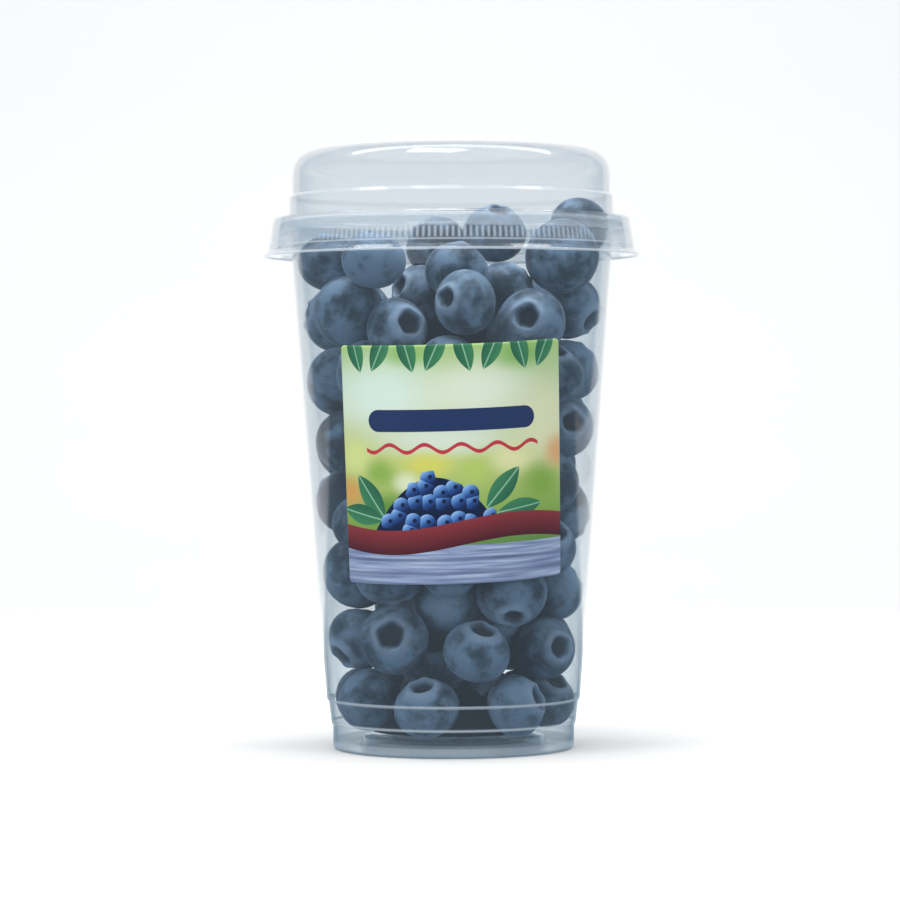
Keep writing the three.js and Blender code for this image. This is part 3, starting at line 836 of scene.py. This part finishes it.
def random_from(seed):
    """A small repeatable random source, as in the part's source: state * factor + step, modulo span."""
    factor, step, span = 1664525, 1013904223, 2**32
    state = seed
    while True:
        state = (factor * state + step) % span
        yield state / span


def laid_out_berries(cup, seed):
    """The placed berries, then rings of others wherever there is still room, one row for each berry.

    A row holds the place, the direction of the blossom end, the half width, the half height and how readily
    the berry gives way.
    """
    random = random_from(seed)
    rows = []

    def lay(x, y, z, diameter, flatness, turn, lift, hold):
        end = (math.sin(turn) * math.cos(lift), -math.cos(turn) * math.cos(lift), math.sin(lift))
        rows.append((x, y, z, *end, diameter / 2, diameter / 2 * flatness, hold))

    for turn, height, inset, diameter, end_turn, end_lift in SHOWN_BERRIES:
        out = room_radius(height, cup) - diameter / 2 - inset
        x, y = out * math.sin(turn * DEGREE), -out * math.cos(turn * DEGREE)
        lay(x, y, height, diameter, SHOWN_FLATNESS, end_turn * DEGREE, end_lift * DEGREE, SHOWN_HOLD)
    floor = (cup.recess_height + cup.wall) / MM + BERRY_GAP
    for layer in range(math.ceil(FILL_TOP / LAYER_HEIGHT) + 1):
        height = floor + FIRST_LAYER + LAYER_HEIGHT * layer
        outer = room_radius(height, cup) - RING_INSET
        for out in (outer, outer - RING_PITCH):
            count = max(2, math.floor(2 * math.pi * out / RING_PITCH))
            for k in range(count):
                turn = LAYER_TURN * layer + 2 * math.pi * k / count + TURN_UNEVEN * next(random)
                z = height + LAYER_UNEVEN * (next(random) - 0.5)
                diameter = BERRY_LEAST + BERRY_SPREAD * next(random)
                flatness = BERRY_FLATNESS + FLATNESS_SPREAD * next(random)
                end_turn = 2 * math.pi * next(random)
                end_lift = math.asin(2 * next(random) - 1)
                x, y = out * math.sin(turn), -out * math.cos(turn)
                near = any(math.dist(row[:3], (x, y, z)) < LEAST_SPACING for row in rows)
                if z < FILL_TOP and not near:
                    lay(x, y, z, diameter, flatness, end_turn, end_lift, 1)
    return np.array(rows)


def reach_along(lean, across, tall):
    """How far an oblate berry reaches in a direction whose cosine with its short axis is lean."""
    return np.sqrt(across**2 * (1 - lean**2) + tall**2 * lean**2)


def settle(berries, cup):
    """Pushes overlapping berries apart, lets them sink, and keeps them inside the cup, sweep by sweep.

    Two berries overlap by the sum of their reaches along the line between their middles, less its length.
    Each gives way in proportion to its hold.
    """
    at, end = berries[:, :3], berries[:, 3:6]
    across, tall, hold = berries[:, 6], berries[:, 7], berries[:, 8]
    draft = wall_draft(cup)
    slant = math.hypot(1, draft)
    floor = (cup.recess_height + cup.wall) / MM + BERRY_GAP
    for sweep in range(SWEEPS):
        between = at[:, None] - at[None]
        apart = np.linalg.norm(between, axis=2)
        np.fill_diagonal(apart, np.inf)
        direction = between / apart[:, :, None]
        reach = reach_along((direction * end[:, None]).sum(axis=2), across[:, None], tall[:, None])
        overlap = np.maximum(reach + reach.T - apart, 0)
        share = PUSH * overlap * hold[:, None] / (hold[:, None] + hold[None])
        at += (direction * share[:, :, None]).sum(axis=1)
        at[:, 2] -= SETTLE * (1 - sweep / SWEEPS) * hold
        out = np.hypot(at[:, 0], at[:, 1])
        normal = vectors(at[:, 0] / out / slant, at[:, 1] / out / slant, -draft / slant)
        leaning = reach_along((normal * end).sum(axis=1), across, tall)
        past = np.maximum(leaning - (room_radius(at[:, 2], cup) - out) / slant, 0)
        at -= normal * past[:, None]
        at[:, 2] = np.maximum(at[:, 2], floor + reach_along(end[:, 2], across, tall))
    return berries


def berry_section():
    """The slant from the blossom end of each row of a berry: close rows over the crown, wider ones below."""
    crown = np.linspace(0, CROWN_SLANT, CROWN_ROWS)
    body = np.linspace(CROWN_SLANT, math.pi, BODY_ROWS + 1)
    return np.concatenate((crown, body[1:]))


def berry_surface(berries, random):
    """Places of all the berries' points, and how far each is on the crown's ridge and in its hollow.

    At slant t and turn u a berry's radius is across * sin(t) and its height tall * cos(t). A ridge of lobes
    is added round the blossom end, with a hollow inside it, and a dimple at the stem end. Slow waves of the
    turn and slant make each berry a little uneven.
    """
    slant = berry_section()[None, :, None]
    turn = (np.arange(BERRY_COLUMNS) * (2 * math.pi / BERRY_COLUMNS))[None, None]
    across = berries[:, 6, None, None]
    tall = berries[:, 7, None, None]
    phase = random.uniform(0, 2 * math.pi, (3, len(berries), 1, 1))
    size = random.uniform(0.85, 1.15, (len(berries), 1, 1))
    lobes = np.cos(LOBES * turn + phase[0])
    out = np.sin(slant)
    blossom = slant < BLOSSOM_SLANT
    from_ridge = out - (RIDGE_AT + LOBE_REACH * lobes) * size
    ridge = bump(from_ridge, RIDGE_WIDTH) * blossom
    hollow = 1 / (1 + np.exp((from_ridge + HOLLOW_IN) / HOLLOW_EDGE)) * blossom
    flare = bump(from_ridge - FLARE_OUT, FLARE_WIDTH) * blossom
    dimple = bump(out, DIMPLE_WIDTH) * ~blossom
    uneven = 1 - TWO_WAVES * (1 + np.sin(2 * turn + phase[1]) * np.sin(slant) ** 2)
    uneven = uneven - THREE_WAVES * (1 + np.sin(3 * turn + 2 * slant + phase[2]) * np.sin(slant))
    radius = across * out * uneven
    raised = RIDGE_RISE * ridge * (1 + LOBE_RISE * lobes) + FLARE_RISE * flare
    raised = raised - HOLLOW_DEPTH * hollow + DIMPLE_DEPTH * dimple
    height = tall * np.cos(slant) * uneven + across * raised
    end = berries[:, None, None, 3:6]
    upright = np.where(np.abs(end[..., 2:]) > 0.9, [1.0, 0.0, 0.0], [0.0, 0.0, 1.0])
    first = np.cross(upright, end)
    first /= np.linalg.norm(first, axis=3, keepdims=True)
    second = np.cross(end, first)
    places = berries[:, None, None, :3] + end * height[..., None]
    arm = first * np.cos(turn)[..., None] + second * np.sin(turn)[..., None]
    places = places + arm * radius[..., None]
    crown = bump(from_ridge - PALE_OUT, PALE_WIDTH) * blossom * (1 - hollow)
    return places * MM, crown, hollow


def bump(far, width):
    """A smooth bump, exp(-(far / width) ** 2)."""
    return np.exp(-((far / width) ** 2))


def berry_piece(name, berries, random, material):
    """One mesh of several berries. Each berry's first and last row are points, closed with triangles."""
    places, crown, hollow = berry_surface(berries, random)
    count, rows, columns = places.shape[:3]
    inner = rows - 2
    body = places[:, 1:-1].reshape(count, -1, 3)
    ends = places[:, [0, -1], 0]
    all_places = np.concatenate((body, ends), axis=1)
    each = inner * columns + 2
    one, sides = ring_faces(inner, columns, flip=True)
    corners = (one + np.arange(count)[:, None] * each).ravel()
    piece = put_mesh(name, all_places.reshape(-1, 3), corners, np.tile(sides, count), [material])
    tone = np.repeat(random.uniform(0, 1, count), each)
    for label, values in (("crown", crown), ("hollow", hollow)):
        kept = np.concatenate((values[:, 1:-1].reshape(count, -1), values[:, [0, -1], 0]), axis=1)
        put_attribute(piece, label, kept)
    put_attribute(piece, "tone", tone)
    return piece


def put_attribute(piece, name, values):
    """One number for each vertex, for the material to read."""
    layer = piece.data.attributes.new(name, "FLOAT", "POINT")
    layer.data.foreach_set("value", in_a_row(values, np.float32))


def bloomed_skin(look):
    """Blueberry skin: near-black navy under dusty bloom, rubbed off in patches, paler round the crown."""
    material, tree = new_material("blueberry skin with wax bloom")
    place = node(tree, "ShaderNodeTexCoord").outputs["Object"]
    tone, crown, hollow = (
        node(tree, "ShaderNodeAttribute", {"attribute_name": name}).outputs["Fac"]
        for name in ("tone", "crown", "hollow")
    )
    # Patches about 7 mm across where handling has rubbed the bloom thin.
    coarse = {"Vector": place, "Scale": 150.0, "Detail": 3.0, "Roughness": 0.55}
    patches = node(tree, "ShaderNodeTexNoise", inputs=coarse)
    # Dust of about 0.5 mm in the bloom.
    fine = {"Vector": place, "Scale": 1800.0, "Detail": 2.0, "Roughness": 0.6}
    dust = node(tree, "ShaderNodeTexNoise", inputs=fine)
    lift = node(tree, MATH, MULTIPLY_ADD, {0: tone, 1: 0.22, 2: -0.11})
    level = node(tree, MATH, ADD, {0: patches, 1: lift})
    cover = node(tree, MAP_RANGE, SMOOTH, mapped(level, 0.34, 0.66, 0.08, 0.95))
    dusted = node(tree, MATH, MULTIPLY_ADD, {0: dust, 1: 0.3, 2: -0.15})
    cover = node(tree, MATH, ADD, {0: cover, 1: dusted})
    cover = node(tree, MATH, {**MULTIPLY_ADD, "use_clamp": True}, {0: crown, 1: 0.45, 2: cover})
    skin = paint(tree, cover, look.skin, look.bloom)
    pale = node(tree, MATH, MULTIPLY, {0: crown, 1: 0.5})
    skin = paint(tree, pale, skin, linear("9DABBD"))
    skin = paint(tree, hollow, skin, look.hollow)
    rough = node(tree, MAP_RANGE, inputs=mapped(cover, 0.0, 1.0, 0.38, 0.68))
    grain = node(tree, "ShaderNodeBump", inputs={"Strength": 0.25, "Distance": 0.00008, "Height": dust})
    waxy = {
        "Base Color": skin, "Roughness": rough, "IOR": 1.45, "Normal": grain,
        "Sheen Weight": 0.25, "Sheen Roughness": 0.45, "Sheen Tint": linear("B9C6DE"),
    }
    return finished(material, PRINCIPLED, waxy)


def painted_shade_core():
    """A turned core along the axis, near-black: painted shade in the gaps deep in the heap, with a rim down
    to the floor.
    """
    # Painted shade: a near-black matt sheet where the gaps between the berries fall into shade.
    shade = plain_material("shade between blueberries", linear("10151C"), 0.9)
    return turned_solid("painted_shade_core", rounded_path(HEAP_CORE) * MM, shade)


class PUNNET_OT_berries(Operator):
    """Makes the heap of blueberries in place of its CAD solid"""

    bl_idname = "punnet.berries"
    bl_label = "Blueberries"

    def execute(self, context):
        look = context.scene.punnet_berries
        cup = context.scene.punnet_cup
        random = np.random.default_rng(look.seed)
        berries = settle(laid_out_berries(cup, look.seed), cup)
        berries = berries[np.argsort(berries[:, 2])]
        skin = bloomed_skin(look)
        pieces = []
        for number, start in enumerate(range(0, len(berries), BERRIES_A_PIECE), 1):
            part = berries[start : start + BERRIES_A_PIECE]
            pieces.append(berry_piece(f"blueberries_{number}", part, random, skin))
        for piece in (*pieces, painted_shade_core()):
            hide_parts("blueberries")
            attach(piece, BODY)
        return {"FINISHED"}


def paper_sweep(name, path, span, material):
    """A sheet of paper: the path of (y, z) places carried along X over the span.

    The photo's own surroundings are cut out and white, so the paper gives the berries no light from below.
    """
    places = vectors(np.linspace(*span, 3), path[:, :1], path[:, 1:])
    sheet = grid_piece(name, places, [material])
    sheet.visible_diffuse = False
    return sheet


def soft_light(name, place, size, power, target, glossy):
    """A rectangular area light aimed at a target, seen in the walls' mirror if glossy is set."""
    light = bpy.data.lights.new(name, "AREA")
    light.shape = "RECTANGLE"
    light.size, light.size_y = size
    light.energy = power
    lamp = bpy.data.objects.new(name, light)
    lamp.location = place
    lamp.visible_glossy = glossy
    aim(lamp, target)
    bpy.context.scene.collection.objects.link(lamp)


def aim(thing, target, roll=0.0):
    """Turns an object so that its -Z looks at a target, with +Y up in its view."""
    direction = Vector(target) - Vector(thing.location)
    turn = direction.to_track_quat("-Z", "Y").to_matrix()
    thing.rotation_euler = (turn @ Matrix.Rotation(roll, 3, "Z")).to_euler()


class PUNNET_OT_stage(Operator):
    """Makes the paper floor, the lights and the camera"""

    bl_idname = "punnet.stage"
    bl_label = "Stage"

    def execute(self, context):
        scene = context.scene
        look = scene.punnet_stage
        # Matt white paper: it shows soft shadows and no mirror.
        paper = plain_material("seamless background paper", look.paper, 0.9)
        end, start = (PAPER_BACK, 0, PAPER_BEND), (PAPER_START, 0, 0)
        front = rounded_path(((-PAPER_REACH, PAPER_TOP, 0), (-PAPER_REACH, 0, PAPER_BEND), start))
        back = rounded_path((start, end, (PAPER_BACK, PAPER_TOP, 0)))
        paper_sweep("paper_back", back, (-PAPER_HALF, PAPER_HALF), paper)
        for name, path, span in (
            ("paper_front", front, (-PAPER_REACH, PAPER_REACH)),
            ("paper_left", back, (-PAPER_REACH, -PAPER_HALF)),
            ("paper_right", back, (PAPER_HALF, PAPER_REACH)),
        ):
            paper_sweep(name, path, span, paper).visible_glossy = False
        for light in LIGHTS:
            soft_light(*light)
        world = bpy.data.worlds.new("studio")
        world.use_nodes = True
        background = world.node_tree.nodes["Background"]
        background.inputs["Color"].default_value = linear(SKY)
        background.inputs["Strength"].default_value = SKY_STRENGTH
        scene.world = world
        camera = bpy.data.objects.new("camera", bpy.data.cameras.new("camera"))
        camera.data.lens = look.lens
        camera.data.sensor_width = SENSOR_MM
        camera.location = (CAMERA_ASIDE, -look.distance, look.eye_height)
        aim(camera, (CAMERA_ASIDE, 0, look.aim_height), CAMERA_ROLL)
        scene.collection.objects.link(camera)
        scene.camera = camera
        scene.view_settings.view_transform = "Standard"
        scene.cycles.transparent_max_bounces = BOUNCES_THROUGH
        return {"FINISHED"}


class PUNNET_PT_panel(Panel):
    """Lists the pieces of the cup of blueberries"""

    bl_idname = "PUNNET_PT_panel"
    bl_label = "Cup of blueberries"
    bl_space_type = "VIEW_3D"
    bl_region_type = "UI"
    bl_category = "Blueberries"

    def draw(self, context):
        for made in OPERATORS:
            self.layout.operator(made.bl_idname)
        for name in GROUPS:
            group = getattr(context.scene, name)
            box = self.layout.box()
            for key in group.__annotations__:
                box.prop(group, key)


OPERATORS = (PUNNET_OT_berries, PUNNET_OT_cup, PUNNET_OT_lid, PUNNET_OT_label, PUNNET_OT_stage)
GROUPS = {
    "punnet_cup": CupSizes,
    "punnet_lid": LidSizes,
    "punnet_label": LabelLook,
    "punnet_berries": BerryLook,
    "punnet_stage": StageLook,
}


def register():
    for made in (*GROUPS.values(), *OPERATORS, PUNNET_PT_panel):
        bpy.utils.register_class(made)
    for name, group in GROUPS.items():
        setattr(bpy.types.Scene, name, PointerProperty(type=group))


def unregister():
    for name in GROUPS:
        delattr(bpy.types.Scene, name)
    for made in (PUNNET_PT_panel, *reversed(OPERATORS), *reversed(list(GROUPS.values()))):
        bpy.utils.unregister_class(made)


def main():
    register()
    bpy.ops.punnet.berries()
    bpy.ops.punnet.cup()
    bpy.ops.punnet.lid()
    bpy.ops.punnet.label()
    bpy.ops.punnet.stage()


if __name__ == "__main__":
    main()
